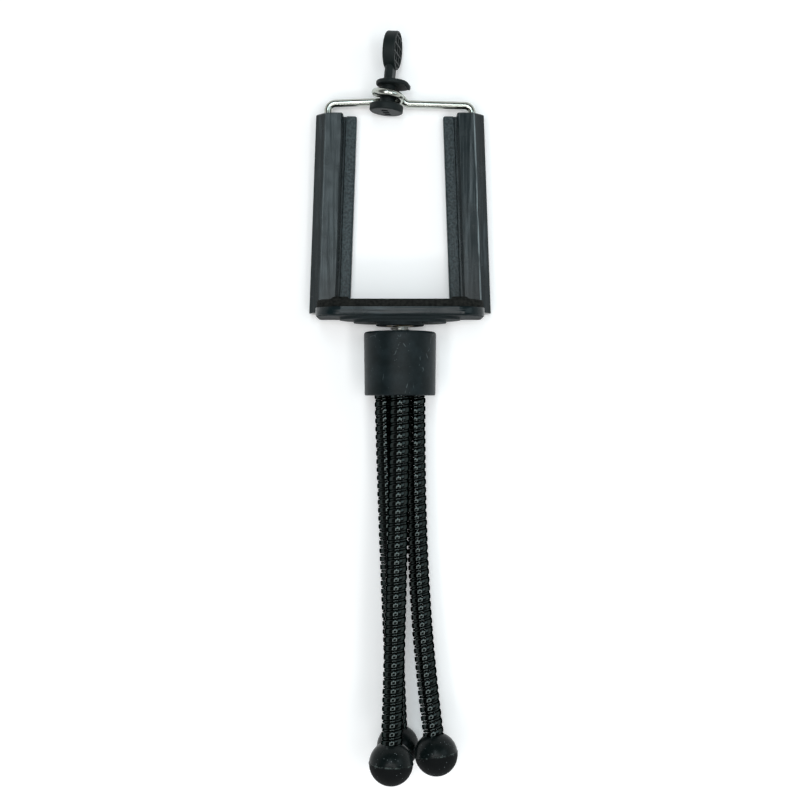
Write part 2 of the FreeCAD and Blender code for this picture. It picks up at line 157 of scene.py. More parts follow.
# %% Hub material
# The tool's texture, the hairlines and the dust are under 0.1 mm on the real hub, too fine to show in
# the render, so they are drawn two to four times as coarse.
HUB_TEXTURE = 0.35 * MM
HUB_SMUDGE = 4.5 * MM
SCRATCH_CELL = 7.5 * MM
SCRATCH_BREAK = 3 * MM
DUST_CELL = 1.6 * MM
hub_abs, tree, shader, place = start("abs_moulded_satin_black", {"IOR": 1.53, "Specular IOR Level": 0.12})
texture = add(tree, "ShaderNodeTexNoise", {"Scale": 1 / HUB_TEXTURE, "Detail": 3.0}, {"Vector": place})
smudge = add(tree, "ShaderNodeTexNoise", {"Scale": 1 / HUB_SMUDGE, "Detail": 5.0, "Roughness": 0.6},
             {"Vector": place})
smudged = add(tree, "ShaderNodeMapRange", {"From Min": 0.4, "From Max": 0.68}, {"Value": smudge})
edges = add(tree, "ShaderNodeTexVoronoi", {"Scale": 1 / SCRATCH_CELL}, {"Vector": place},
            feature="DISTANCE_TO_EDGE")
hairline = add(tree, "ShaderNodeMapRange", {"From Min": 0.014, "From Max": 0.006}, {"Value": edges})
breaks = add(tree, "ShaderNodeTexNoise", {"Scale": 1 / SCRATCH_BREAK, "Detail": 2.0}, {"Vector": place})
kept = add(tree, "ShaderNodeMapRange", {"From Min": 0.55, "From Max": 0.64}, {"Value": breaks})
scratch = add(tree, "ShaderNodeMath", {}, {0: hairline, 1: kept}, operation="MULTIPLY")
cells = add(tree, "ShaderNodeTexVoronoi", {"Scale": 1 / DUST_CELL}, {"Vector": place})
speck = add(tree, "ShaderNodeMapRange", {"From Min": 0.085, "From Max": 0.04}, {"Value": cells})
mark = add(tree, "ShaderNodeMath", {}, {0: scratch, 1: speck}, operation="MAXIMUM")
tone = add(tree, "ShaderNodeMix", {"A": linear("#0c1618"), "B": linear("#182225")}, {"Factor": smudged},
           data_type="RGBA")
marked = add(tree, "ShaderNodeMix", {"B": linear("#444e50")}, {"Factor": mark, "A": tone}, data_type="RGBA")
rough = add(tree, "ShaderNodeMapRange", {"To Min": 0.36, "To Max": 0.5}, {"Value": texture})
bump = add(tree, "ShaderNodeBump", {"Strength": 0.12, "Distance": 0.05 * MM}, {"Height": texture})
link(tree, shader, {"Base Color": marked, "Roughness": rough, "Normal": bump})
print("made", hub_abs.name)

# %% [markdown]
# ### Clamp: moulded ABS, semi-gloss
# The clamp's frame is a shinier black moulding, so the eye reads it by what it mirrors. Its long faces
# sank a little as they cooled, and reflections run along them as uneven streaks: up and down the posts,
# and from side to side on the base. A shallow noise, drawn out along the piece, bends the reflections.
# A much finer one gives the pale drag lines that handling has left, and a third, broad one keeps those
# to a few patches: all over, they look like wood.

# %% The clamp's streaks and drag lines
HANDLED_PATCH = 16 * MM


def moulding_marks(tree, place, streak, drag):
    along = add(tree, "ShaderNodeMapping", {"Scale": [1 / (mm * MM) for mm in streak]}, {"Vector": place})
    waver = add(tree, "ShaderNodeTexNoise", {"Scale": 1.0, "Detail": 2.0}, {"Vector": along})
    finely = add(tree, "ShaderNodeMapping", {"Scale": [1 / (mm * MM) for mm in drag]}, {"Vector": place})
    lines = add(tree, "ShaderNodeTexNoise", {"Scale": 1.0, "Detail": 3.0}, {"Vector": finely})
    patch = add(tree, "ShaderNodeTexNoise", {"Scale": 1 / HANDLED_PATCH, "Detail": 1.0}, {"Vector": place})
    handled = add(tree, "ShaderNodeMapRange", {"From Min": 0.46, "From Max": 0.66}, {"Value": patch})
    drawn = add(tree, "ShaderNodeMapRange", {"From Min": 0.5, "From Max": 0.78, "To Max": 0.5},
                {"Value": lines})
    rubbed = add(tree, "ShaderNodeMath", {}, {0: drawn, 1: handled}, operation="MULTIPLY")
    return waver, lines, rubbed


print("streaks and drag lines ready")

# %% [markdown]
# The corner between a post's front and its bevel is pale, more on the right post than on the left:
# partly worn by rubbing, and partly a painted highlight, stronger on the side the window lamp faces. A
# pale edge could come from a Pointiness node, but that reads the mesh's vertices, and these long faces
# have them only at their ends. So the pale line is placed by measure: the post's own distance from the
# clamp's middle plane, allowing for its lean, finds the corner, and the drag lines break it up.

# %% The worn corner of the posts, with its painted highlight
POST_SLANT = 0.0352
BEVEL_WIDTH = 3.4 * MM
WEAR_GLINT_FADES = 0.36 * MM
WEAR_GLINT_FULL = 0.12 * MM
WEAR_GLINT_DEPTH = 0.6 * MM
WEAR_GLINT_SIDES = 20 * MM
post_low, post_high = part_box("right_post")
BEVEL_EDGE = post_high.x + POST_SLANT * post_low.y - BEVEL_WIDTH


def from_middle(tree, axes):
    across = add(tree, "ShaderNodeMath", {}, {0: axes.outputs["X"]}, operation="ABSOLUTE")
    lean = add(tree, "ShaderNodeMath", {1: POST_SLANT}, {0: axes.outputs["Y"]}, operation="MULTIPLY")
    return add(tree, "ShaderNodeMath", {}, {0: across, 1: lean}, operation="ADD")


def corner_wear_glint(tree, axes, measured, lines):
    off_edge = add(tree, "ShaderNodeMath", {1: BEVEL_EDGE}, {0: measured}, operation="SUBTRACT")
    from_edge = add(tree, "ShaderNodeMath", {}, {0: off_edge}, operation="ABSOLUTE")
    near = add(tree, "ShaderNodeMapRange", {"From Min": WEAR_GLINT_FADES, "From Max": WEAR_GLINT_FULL},
               {"Value": from_edge})
    in_front = add(tree, "ShaderNodeMath", {1: post_high.z - WEAR_GLINT_DEPTH}, {0: axes.outputs["Z"]},
                   operation="GREATER_THAN")
    # Stronger towards the right post: the side of the painted highlight.
    glint_by_side = add(tree, "ShaderNodeMapRange",
                  {"From Min": -WEAR_GLINT_SIDES, "From Max": WEAR_GLINT_SIDES, "To Min": 0.25, "To Max": 1.0},
                  {"Value": axes.outputs["X"]})
    broken = add(tree, "ShaderNodeMapRange", {"From Min": 0.34, "From Max": 0.54}, {"Value": lines})
    corner = add(tree, "ShaderNodeMath", {}, {0: near, 1: in_front}, operation="MULTIPLY")
    sided = add(tree, "ShaderNodeMath", {}, {0: corner, 1: glint_by_side}, operation="MULTIPLY")
    return add(tree, "ShaderNodeMath", {}, {0: sided, 1: broken}, operation="MULTIPLY")


print("post corner at", round(BEVEL_EDGE / MM, 2), "mm from the middle plane")

# %% [markdown]
# The thin inner flanges of the posts, and the base's underside, keep the grain of a spark-eroded tool.
# On the flanges the grain is painted as pale specks over a slightly paler tone, a painted glint, and on
# the underside it keeps a dark tone and makes the steps dull. It could be a second material on those
# faces, but the solids are one mesh each and stay as they are, so it is masked by place: on the posts
# by the same measure as the pale corner, and on the base by height.

# %% Clamp materials
# The eroded grain is about 0.2 mm on the real flange, too fine to show in the render,
# so it is drawn at 0.8 mm.
FLANGE_GRAIN = 0.8 * MM
CLAMP_SMEAR = 5 * MM
FLANGE_EDGE = 21.6 * MM
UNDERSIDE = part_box("clamp_base")[0].y + 3 * MM
mouldings = {}
for name, streak, drag, grained_to, grain_glint_tone, grain_rough in (
    ("post", (3.6, 48.0, 5.0), (0.5, 11.0, 2.0), FLANGE_EDGE, "#394548", 0.36),
    ("base", (36.0, 1.8, 4.0), (11.0, 0.5, 2.0), UNDERSIDE, "#121b1d", 0.7),
):
    mouldings[name], tree, shader, place = start("abs_moulded_semi_gloss_black_" + name,
                                                 {"IOR": 1.53, "Specular IOR Level": 0.19})
    waver, lines, rubbed = moulding_marks(tree, place, streak, drag)
    tone = add(tree, "ShaderNodeMix", {"A": linear("#091416"), "B": linear("#142023")}, {"Factor": waver},
               data_type="RGBA")
    worn = add(tree, "ShaderNodeMix", {"B": linear("#4b565a")}, {"Factor": rubbed, "A": tone},
               data_type="RGBA")
    axes = add(tree, "ShaderNodeSeparateXYZ", {}, {"Vector": place})
    measured = axes.outputs["Y"]
    if name == "post":
        measured = from_middle(tree, axes)
        wear_glint = corner_wear_glint(tree, axes, measured, lines)
        # The pale corner line: partly a worn edge, partly a painted highlight.
        worn = add(tree, "ShaderNodeMix", {"B": linear("#768184")}, {"Factor": wear_glint, "A": worn},
                   data_type="RGBA")
    eroded = add(tree, "ShaderNodeMath", {1: grained_to}, {0: measured}, operation="LESS_THAN")
    grain = add(tree, "ShaderNodeTexNoise", {"Scale": 1 / FLANGE_GRAIN, "Detail": 2.0}, {"Vector": place})
    # On the posts' flanges the pale grain tone is a painted glint; on the base's underside it stays dark.
    sparkle = add(tree, "ShaderNodeMapRange", {"From Min": 0.38, "From Max": 0.66, "To Min": 0.25},
                  {"Value": grain})
    grain_glints = add(tree, "ShaderNodeMath", {}, {0: sparkle, 1: eroded}, operation="MULTIPLY")
    toned = add(tree, "ShaderNodeMix", {"B": linear(grain_glint_tone)}, {"Factor": grain_glints, "A": worn},
                data_type="RGBA")
    smear = add(tree, "ShaderNodeTexNoise", {"Scale": 1 / CLAMP_SMEAR, "Detail": 3.0}, {"Vector": place})
    glossy = add(tree, "ShaderNodeMapRange",
                 {"From Min": 0.3, "From Max": 0.75, "To Min": 0.16, "To Max": 0.32},
                 {"Value": smear})
    rough = add(tree, "ShaderNodeMix", {"B": grain_rough}, {"Factor": eroded, "A": glossy})
    sunk = add(tree, "ShaderNodeBump", {"Strength": 1.0, "Distance": 0.3 * MM}, {"Height": waver})
    masked = add(tree, "ShaderNodeMath", {}, {0: grain, 1: eroded}, operation="MULTIPLY")
    bump = add(tree, "ShaderNodeBump", {"Strength": 1.0, "Distance": 0.2 * MM},
               {"Height": masked, "Normal": sunk})
    link(tree, shader, {"Base Color": toned, "Roughness": rough, "Normal": bump})
print("made", len(mouldings), "clamp materials")

# %% [markdown]
# ### Legs: steel wire, black nickel plate
# The winding is spring steel with a black nickel plate. It could be drawn as glossy black paint, but
# paint has a diffuse grey of its own that fills the shadows between the turns. A dark metal mirrors
# only a few hundredths of what it faces and has nothing beneath, so the eye gets deep black turns with
# one crisp highlight on each. The tint of its specular keeps the flanks dark too, up to a hair of light
# at the very edge. The plate is thin and a little uneven, so its roughness and tone wander slightly
# from turn to turn.

# %% Leg material
PLATE_PATCH = 2.2 * MM
leg_plate, tree, shader, place = start("steel_wire_black_nickel_plated",
                                       {"Metallic": 1.0, "Specular Tint": linear("#4a4f4f")})
uneven = add(tree, "ShaderNodeTexNoise", {"Scale": 1 / PLATE_PATCH, "Detail": 3.0}, {"Vector": place})
rough = add(tree, "ShaderNodeMapRange", {"To Min": 0.04, "To Max": 0.1}, {"Value": uneven})
tone = add(tree, "ShaderNodeMix", {"A": linear("#232929"), "B": linear("#333837")}, {"Factor": uneven},
           data_type="RGBA")
link(tree, shader, {"Base Color": tone, "Roughness": rough})
print("made", leg_plate.name)

# %% [markdown]
# ### Feet: moulded rubber
# The balls are black rubber, moulded in two halves. Rubber picks up lint, so pale specks sit on it. The
# half that goes on the leg is worn smooth and has a faint sheen, and the half that meets the table is
# dead matt and painted darker, a painted shade. Between them runs a thin ragged line of flash, which
# shows paler. Each foot points its own way, so each has a material with the plane of its own seam: the
# height of a point above that plane picks the half, and a narrow band about it, broken up by noise,
# gives the flash. A painted line would need a UV map for each ball, and a plane needs none.

# %% The seam of a foot
WORN_TO = -0.1 * MM
MATT_FROM = 0.15 * MM
FLASH_FADES = 0.32 * MM
FLASH_FULL = 0.12 * MM
FLASH_BREAK = 0.9 * MM
AIM_BACK = 9 * MM


def parting_seam(tree, place, leg):
    middle = leg_point(*leg, LEG_DROP)
    outward = (leg_point(*leg, LEG_DROP + MM) - leg_point(*leg, LEG_DROP - AIM_BACK)).normalized()
    arm = add(tree, "ShaderNodeVectorMath", {1: middle}, {0: place}, operation="SUBTRACT")
    height = add(tree, "ShaderNodeVectorMath", {1: outward}, {0: arm}, operation="DOT_PRODUCT")
    half = add(tree, "ShaderNodeMapRange", {"From Min": WORN_TO, "From Max": MATT_FROM}, {"Value": height})
    off_seam = add(tree, "ShaderNodeMath", {}, {0: height}, operation="ABSOLUTE")
    band = add(tree, "ShaderNodeMapRange", {"From Min": FLASH_FADES, "From Max": FLASH_FULL},
               {"Value": off_seam})
    ragged = add(tree, "ShaderNodeTexNoise", {"Scale": 1 / FLASH_BREAK, "Detail": 4.0}, {"Vector": place})
    broken = add(tree, "ShaderNodeMapRange", {"From Min": 0.46, "From Max": 0.62}, {"Value": ragged})
    flash = add(tree, "ShaderNodeMath", {}, {0: band, 1: broken}, operation="MULTIPLY")
    return half, flash


print("flash about", round(2 * FLASH_FADES / MM, 2), "mm wide")

# %% Foot materials
# Lint is finer than a pixel of the render, so its specks are drawn about 0.2 mm across.
RUBBER_MOTTLE = 1.6 * MM
LINT_CELL = 1.1 * MM
foot_rubber = {}
for name, leg in LEGS.items():
    foot_rubber[name], tree, shader, place = start("rubber_moulded_matte_black_" + name,
                                                   {"IOR": 1.5, "Specular IOR Level": 0.12})
    half, flash = parting_seam(tree, place, leg)
    mottle = add(tree, "ShaderNodeTexNoise", {"Scale": 1 / RUBBER_MOTTLE, "Detail": 4.0}, {"Vector": place})
    cells = add(tree, "ShaderNodeTexVoronoi", {"Scale": 1 / LINT_CELL}, {"Vector": place})
    lint = add(tree, "ShaderNodeMapRange", {"From Min": 0.13, "From Max": 0.07}, {"Value": cells})
    tone = add(tree, "ShaderNodeMix", {"A": linear("#070e0e"), "B": linear("#0d1515")}, {"Factor": mottle},
               data_type="RGBA")
    # The matt half away from the leg is also mixed to a darker tone: painted shade.
    matt_half_painted_shade = add(tree, "ShaderNodeMix", {"B": linear("#070a0b")}, {"Factor": half, "A": tone},
                 data_type="RGBA")
    linted = add(tree, "ShaderNodeMix", {"B": linear("#6a7274")}, {"Factor": lint, "A": matt_half_painted_shade},
                 data_type="RGBA")
    flashed = add(tree, "ShaderNodeMix", {"B": linear("#434c4a")}, {"Factor": flash, "A": linted},
                  data_type="RGBA")
    sheen = add(tree, "ShaderNodeMapRange", {"To Min": 0.2, "To Max": 0.38}, {"Value": mottle})
    rough = add(tree, "ShaderNodeMix", {"B": 0.75}, {"Factor": half, "A": sheen})
    bump = add(tree, "ShaderNodeBump", {"Strength": 0.15, "Distance": 0.05 * MM}, {"Height": mottle})
    link(tree, shader, {"Base Color": flashed, "Roughness": rough, "Normal": bump})
print("made", len(foot_rubber), "foot materials")

# %% [markdown]
# ### Shelf: closed-cell foam
# A die-cut sheet of dark brown-black foam. Its skin is dead matt, cloudy where it has been pressed and
# rubbed, and pitted with cells about a third of a millimetre wide. Real pits would take a mesh far too
# dense, so the cells are a bump, and the clouds are a noise in the tone.

# %% Foam material
FOAM_CELL = 0.35 * MM
FOAM_CLOUD = 0.9 * MM
foam, tree, shader, place = start("eva_foam_die_cut_brown_black", {"IOR": 1.4, "Specular IOR Level": 0.15})
cells = add(tree, "ShaderNodeTexVoronoi", {"Scale": 1 / FOAM_CELL}, {"Vector": place})
cloud = add(tree, "ShaderNodeTexNoise", {"Scale": 1 / FOAM_CLOUD, "Detail": 4.0}, {"Vector": place})
worn = add(tree, "ShaderNodeMapRange", {"From Min": 0.36, "From Max": 0.64}, {"Value": cloud})
tone = add(tree, "ShaderNodeMix", {"A": linear("#0f1110"), "B": linear("#262725")}, {"Factor": worn},
           data_type="RGBA")
rough = add(tree, "ShaderNodeMapRange", {"To Min": 0.85, "To Max": 1.0}, {"Value": cells})
bump = add(tree, "ShaderNodeBump", {"Strength": 0.6, "Distance": 0.12 * MM}, {"Height": cells})
link(tree, shader, {"Base Color": tone, "Roughness": rough, "Normal": bump})
print("made", foam.name)

# %% [markdown]
# ### Pull tab: moulded soft PVC
# The tab is a soft black moulding with a dull skin, duller than the clamp beside it. Its waffle and its
# pockets are real cuts in the solid, so the material only has to be a quiet mottle that keeps the broad
# faces from looking flat.

# %% Tab material
PVC_MOTTLE = 0.8 * MM
tab_pvc, tree, shader, place = start("soft_pvc_moulded_dull_black", {"IOR": 1.5, "Specular IOR Level": 0.2})
mottle = add(tree, "ShaderNodeTexNoise", {"Scale": 1 / PVC_MOTTLE, "Detail": 4.0}, {"Vector": place})
tone = add(tree, "ShaderNodeMix", {"A": linear("#0c1414"), "B": linear("#141d1d")}, {"Factor": mottle},
           data_type="RGBA")
rough = add(tree, "ShaderNodeMapRange", {"To Min": 0.42, "To Max": 0.6}, {"Value": mottle})
bump = add(tree, "ShaderNodeBump", {"Strength": 0.12, "Distance": 0.05 * MM}, {"Height": mottle})
link(tree, shader, {"Base Color": tone, "Roughness": rough, "Normal": bump})
print("made", tab_pvc.name)

# %% [markdown]
# ### The metals
# The bail is drawn steel wire with a bright nickel plate, faintly green in tone. The stud is steel with
# a duller zinc plate. Springs, collars and screws are plain steel, and the insert is turned brass. All
# are metals, so they keep the default IOR: only colour and roughness tell them apart. Each could have a
# graph of its own, but they tarnish in the same way, so one loop makes all four: a cloudy tarnish, and
# a fine unevenness in the surface.

# %% Metal materials
# name: the clean and the tarnished tone, the clean and the tarnished roughness
METALS = {
    "steel_wire_drawn_nickel_plated": ("#c6cac2", "#989c95", 0.14, 0.3),
    "steel_turned_zinc_plated": ("#d9dad6", "#b2b4b0", 0.24, 0.4),
    "steel_plain_drawn": ("#a4a5a6", "#7c7d7f", 0.3, 0.45),
    "brass_turned": ("#c9a55a", "#94763a", 0.24, 0.4),
}
TARNISH_PATCH = 1.8 * MM
DRAWN_TEXTURE = 0.25 * MM
metals = {}
for name, (clean, tarnished, smooth, dull) in METALS.items():
    metals[name], tree, shader, place = start(name, {"Metallic": 1.0})
    tarnish = add(tree, "ShaderNodeTexNoise",
                  {"Scale": 1 / TARNISH_PATCH, "Detail": 5.0, "Roughness": 0.65},
                  {"Vector": place})
    tone = add(tree, "ShaderNodeMix", {"A": linear(tarnished), "B": linear(clean)}, {"Factor": tarnish},
               data_type="RGBA")
    rough = add(tree, "ShaderNodeMapRange", {"To Min": dull, "To Max": smooth}, {"Value": tarnish})
    fine = add(tree, "ShaderNodeTexNoise", {"Scale": 1 / DRAWN_TEXTURE, "Detail": 2.0}, {"Vector": place})
    bump = add(tree, "ShaderNodeBump", {"Strength": 0.08, "Distance": 0.03 * MM}, {"Height": fine})
    link(tree, shader, {"Base Color": tone, "Roughness": rough, "Normal": bump})
print("made", len(metals), "metals")

# %% [markdown]
# ## Finishes on the solids
# Most solids already have the shape of the real piece, so they only take a material. Moulded edges are
# never knife-sharp, and a sharp edge catches no light. Rounding every edge in the solids would cost
# many faces, so it is done here by modifiers: a weld joins the faces that the exporter kept apart, and
# a narrow bevel rounds each edge.

# %% Put materials on the CAD nodes
FINISH = {
    "hub": hub_abs,
    "clamp_base": mouldings["base"],
    "left_post": mouldings["post"],
    "right_post": mouldings["post"],
    "pull_tab": tab_pvc,
    "bail_wire": metals["steel_wire_drawn_nickel_plated"],
    "thread_insert": metals["brass_turned"],
}
for leg in LEGS:
    FINISH["foot_" + leg] = foot_rubber[leg]
for name in ("post_screws", "left_collar", "right_collar"):
    FINISH[name] = metals["steel_plain_drawn"]
for name, material in FINISH.items():
    solid = nodes[name]
    if not solid.material_slots:
        solid.data.materials.append(material)
    for slot in solid.material_slots:
        slot.link = "OBJECT"
        slot.material = material
print("finished", len(FINISH), "solids")

# %% Round the moulded edges
EDGE_ROUNDING = {"clamp_base": 0.2 * MM, "left_post": 0.28 * MM, "right_post": 0.28 * MM}
WELD_GAP = 0.002 * MM
SHARP_FROM = math.radians(25)
for name, width in EDGE_ROUNDING.items():
    weld = nodes[name].modifiers.new("join faces", "WELD")
    weld.merge_threshold = WELD_GAP
    edge = nodes[name].modifiers.new("moulded edge", "BEVEL")
    edge.width = width
    edge.segments = 2
    edge.limit_method = "ANGLE"
    edge.angle_limit = SHARP_FROM
    edge.harden_normals = True
print("rounded the edges of", len(EDGE_ROUNDING), "solids")

# %% [markdown]
# ## A helper for swept pieces
# The winding, the thread, the springs and the foam are all a stack of rings. A curve with a bevel could
# sweep a wire, but not a thread or a pad. The helper takes rings of points, skins each ring to the next
# and closes the two ends, which gives a clean closed mesh with no hidden faces for every one of them.

# %% The skinning helper
def skinned(name, rings, material):
    count = len(rings[0])
    points = [p for ring in rings for p in ring]
    faces = []
    for i in range(len(rings) - 1):
        for k in range(count):
            j = (k + 1) % count
            faces.append((i * count + k, i * count + j, (i + 1) * count + j, (i + 1) * count + k))
    faces.append(tuple(range(count))[::-1])
    faces.append(tuple((len(rings) - 1) * count + k for k in range(count)))
    mesh = bpy.data.meshes.new(name)
    mesh.from_pydata(points, [], faces)
    mesh.polygons.foreach_set("use_smooth", [True] * len(mesh.polygons))
    mesh.materials.append(material)
    mesh.update()
    piece = bpy.data.objects.new(name, mesh)
    bpy.context.scene.collection.objects.link(piece)
    return piece


print("skinning helper ready")

# %% [markdown]
# ## Wound legs
# A gooseneck is two wires wound together: a broad band with a crowned face, and a thin round wire that
# shows as a bead between its turns. The solids show the turns as rings. Here both wires are drawn as
# real helices along the leg's own centre line, which starts straight in its socket and bends more and
# more towards the foot. A screw modifier could wind a straight leg, but these follow a curve. When a
# leg is bent, the winding would have to curve with it, but these pieces are drawn once in place and
# attached to no body, so they keep the legs' rest shape.

# %% The two wires' sections
# In mm: along the leg from the middle of the section, and out from the leg's centre line
BAND_HALF = [(0.8, 2.5), (0.82, 3.16), (0.76, 3.29), (0.6, 3.36), (0.3, 3.4)]
BAND_CROWN = [(0.0, 3.41)]
BAND = [(-along, out) for along, out in BAND_HALF] + BAND_CROWN + BAND_HALF[::-1]
BEAD_RADIUS = 0.42
BEAD_CIRCLE = 2.76
BEAD_SIDES = 10
BEAD_ANGLES = [2 * math.pi * k / BEAD_SIDES for k in range(BEAD_SIDES)]
BEAD = [(BEAD_RADIUS * math.cos(a), BEAD_CIRCLE + BEAD_RADIUS * math.sin(a)) for a in BEAD_ANGLES]
print("band of", len(BAND), "points, bead of", len(BEAD))

# %% One wire's turns along a leg
WINDING_PITCH = 2.65 * MM
STEPS_PER_TURN = 36
INTO_BALL = 3.6 * MM
SHORT_OF_SOCKET = 2 * MM


def winding(leg, profile, shift):
    end = LEG_DROP - BALL_RADIUS + INTO_BALL
    top = -SOCKET_DEPTH + SHORT_OF_SOCKET
    steps = int((end - top) / WINDING_PITCH * STEPS_PER_TURN)
    rings = []
    for step in range(steps + 1):
        drop = top + step * WINDING_PITCH / STEPS_PER_TURN
        turn = 2 * math.pi * (step / STEPS_PER_TURN + shift)
        along = (leg_point(*leg, drop + MM) - leg_point(*leg, drop - MM)).normalized()
        side = (Vector((1, 0, 0)) - along * along.x).normalized()
        out = side.cross(along) * math.cos(turn) + side * math.sin(turn)
        middle = leg_point(*leg, drop)
        rings.append([middle + along * (a * MM) + out * (r * MM) for a, r in profile])
    return rings


print("winding ready, pitch", round(WINDING_PITCH / MM, 2), "mm")

# %% Wind the three legs
for name, leg in LEGS.items():
    band = skinned("band_wire_" + name, winding(leg, BAND, 0.0), leg_plate)
    bead = skinned("bead_wire_" + name, winding(leg, BEAD, 0.5), leg_plate)
    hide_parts("gooseneck_" + name)
    for piece in (band, bead):
        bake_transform(piece)
    print("leg", name, len(band.data.polygons) + len(bead.data.polygons), "faces")

# %% [markdown]
# ## Stud
# The camera stud is rolled with a quarter-inch thread, twenty turns to the inch. A short length of it
# shows between the clamp's boss and the hub. A groove could be swept and cut out with a boolean, which
# often leaves torn faces. Here the thread is a stack of rings whose radius rises and falls with angle
# and height, so it is whole from the start.

# %% The thread's form
THREAD_PITCH = 1.27 * MM
THREAD_DEPTH = 0.62 * MM
CREST_SHARE = 0.12
FLANK_SHARE = 0.76
STUD_RADIUS = 3.14 * MM
STUD_TIP = 0.6 * MM
stud_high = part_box("stud")[1]


def thread_radius(y, angle):
    phase = (y / THREAD_PITCH - angle / (2 * math.pi)) % 1.0
    groove = min(1.0, max(0.0, (abs(phase - 0.5) * 2 - CREST_SHARE) / FLANK_SHARE))
    chamfer = max(0.0, STUD_TIP - (stud_high.y - y))
    return min(STUD_RADIUS - THREAD_DEPTH * groove, STUD_RADIUS - chamfer)


print("thread", round(2 * STUD_RADIUS / MM, 2), "mm across, up to y", round(stud_high.y / MM, 1), "mm")

# %% Thread the stud
HEAD_DEPTH = 6 * MM
ROUND = 48
ROWS = 72
HEAD_TOP = hub_high.y - HEAD_DEPTH
rings = []
for row in range(ROWS + 1):
    y = HEAD_TOP + (stud_high.y - HEAD_TOP) * row / ROWS
    ring = []
    for k in range(ROUND):
        a = 2 * math.pi * k / ROUND
        r = thread_radius(y, a)
        ring.append(Vector((STUD_AXIS.x + r * math.sin(a), y, STUD_AXIS.z + r * math.cos(a))))
    rings.append(ring)
stud = skinned("stud_thread", rings, metals["steel_turned_zinc_plated"])
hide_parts("stud")
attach(stud, "hub")
print("stud", len(stud.data.polygons), "faces")

# %% [markdown]
# ## Springs
# A compression spring sits on each leg of the bail, inside its post, between a collar and the roof of
# the post's chamber. The solids have a square wire in few steps. Here each is a round wire on a true
# helix. When the bail is pulled up, its collar shortens the real spring by the same travel. The coil
# here rides on the clamp alone and keeps its length, so the collar runs into it.

# %% Coil the springs
SPRING_RADIUS = 1.9 * MM
SPRING_WIRE = 0.25 * MM
SPRING_TURNS = 14
SPRING_STEPS = 24
WIRE_SIDES = 8
for name in ("left_spring", "right_spring"):
    low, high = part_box(name)
    axis_x, axis_z = (low.x + high.x) / 2, (low.z + high.z) / 2
    rise = high.y - low.y - 2 * SPRING_WIRE
    rings = []
    for step in range(SPRING_TURNS * SPRING_STEPS + 1):
        a = 2 * math.pi * step / SPRING_STEPS
        y = low.y + SPRING_WIRE + rise * step / (SPRING_TURNS * SPRING_STEPS)
        ring = []
        for k in range(WIRE_SIDES):
            b = 2 * math.pi * k / WIRE_SIDES
            r = SPRING_RADIUS + SPRING_WIRE * math.cos(b)
            up = SPRING_WIRE * math.sin(b)
            ring.append(Vector((axis_x + r * math.cos(a), y + up, axis_z + r * math.sin(a))))
        rings.append(ring)
    coil = skinned(name + "_coil", rings, metals["steel_plain_drawn"])
    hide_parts(name)
    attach(coil, "clamp")
    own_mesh(coil)
    print(name, len(coil.data.polygons), "faces,", round((high.y - low.y) / MM, 1), "mm long")

# %% [markdown]
# ## Foam shelf
# The pad is die-cut foam, soft at its upper edge. Cloth with pressure would swell it like a cushion,
# and die-cut foam stays flat. So it is drawn as an outline that is stacked in rows and drawn in near
# the top, with a filled top of its own: the whole pad is one closed skin. A tongue at its back reaches
# in between the posts.

# %% The pad's outline
PAD_CORNER = 8.15 * MM
CORNER_STEPS = 12
TONGUE_HALF = 20.3 * MM
SHELF_DEPTH = 12.4 * MM
pad_low, pad_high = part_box("shelf_pad")
SHELF_BACK = pad_high.z - SHELF_DEPTH


def pad_outline(inset):
    half = pad_high.x - inset
    front = pad_high.z - inset
    corner = PAD_CORNER - inset
    back = SHELF_BACK + inset
    tongue = TONGUE_HALF - inset
    points = []
    for sign in (1, -1):
        for k in range(CORNER_STEPS + 1):
            a = math.radians(90 * k / CORNER_STEPS)
            x, z = (math.cos(a), math.sin(a)) if sign > 0 else (math.sin(a), math.cos(a))
            points.append((sign * (half - corner + corner * x), front - corner + corner * z))
    points += [(-half, back), (-tongue, back), (-tongue, pad_low.z + inset)]
    points += [(tongue, pad_low.z + inset), (tongue, back), (half, back)]
    return points


print("pad outline of", len(pad_outline(0.0)), "points")

# %% Cut the foam pad
LOBE_RISE = 1.5 * MM
# drawn in by, in mm, and the share of the pad's thickness
PAD_ROWS = ((0.15, 0.0), (0.0, 0.12), (0.0, 0.7), (0.1, 0.86), (0.3, 0.96), (0.7, 1.0))
pad_top = pad_high.y - LOBE_RISE
thick = pad_top - pad_low.y
rings = []
for inset, level in PAD_ROWS:
    rings.append([Vector((x, pad_low.y + thick * level, z)) for x, z in pad_outline(inset * MM)])
pad = skinned("foam_pad", rings, foam)
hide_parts("shelf_pad")
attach(pad, "clamp")
print("pad", len(pad.data.polygons), "faces,", round(thick / MM, 2), "mm thick")

# %% [markdown]
# Where the sheet meets the posts it stands up in two small lobes. They could be pulled up out of the
# pad's own mesh, but its top is one wide face with no points there. So each is a small stack of its
# own, sunk into the pad, with rounded corners and a top that slopes away on its outer side.

# %% Stand up the lobes
LOBE_START = 16.6 * MM
LOBE_WIDTH = 6.3 * MM
LOBE_DEPTH = 2.6 * MM
LOBE_CORNER = 0.5 * MM
LOBE_CORNER_STEPS = 4
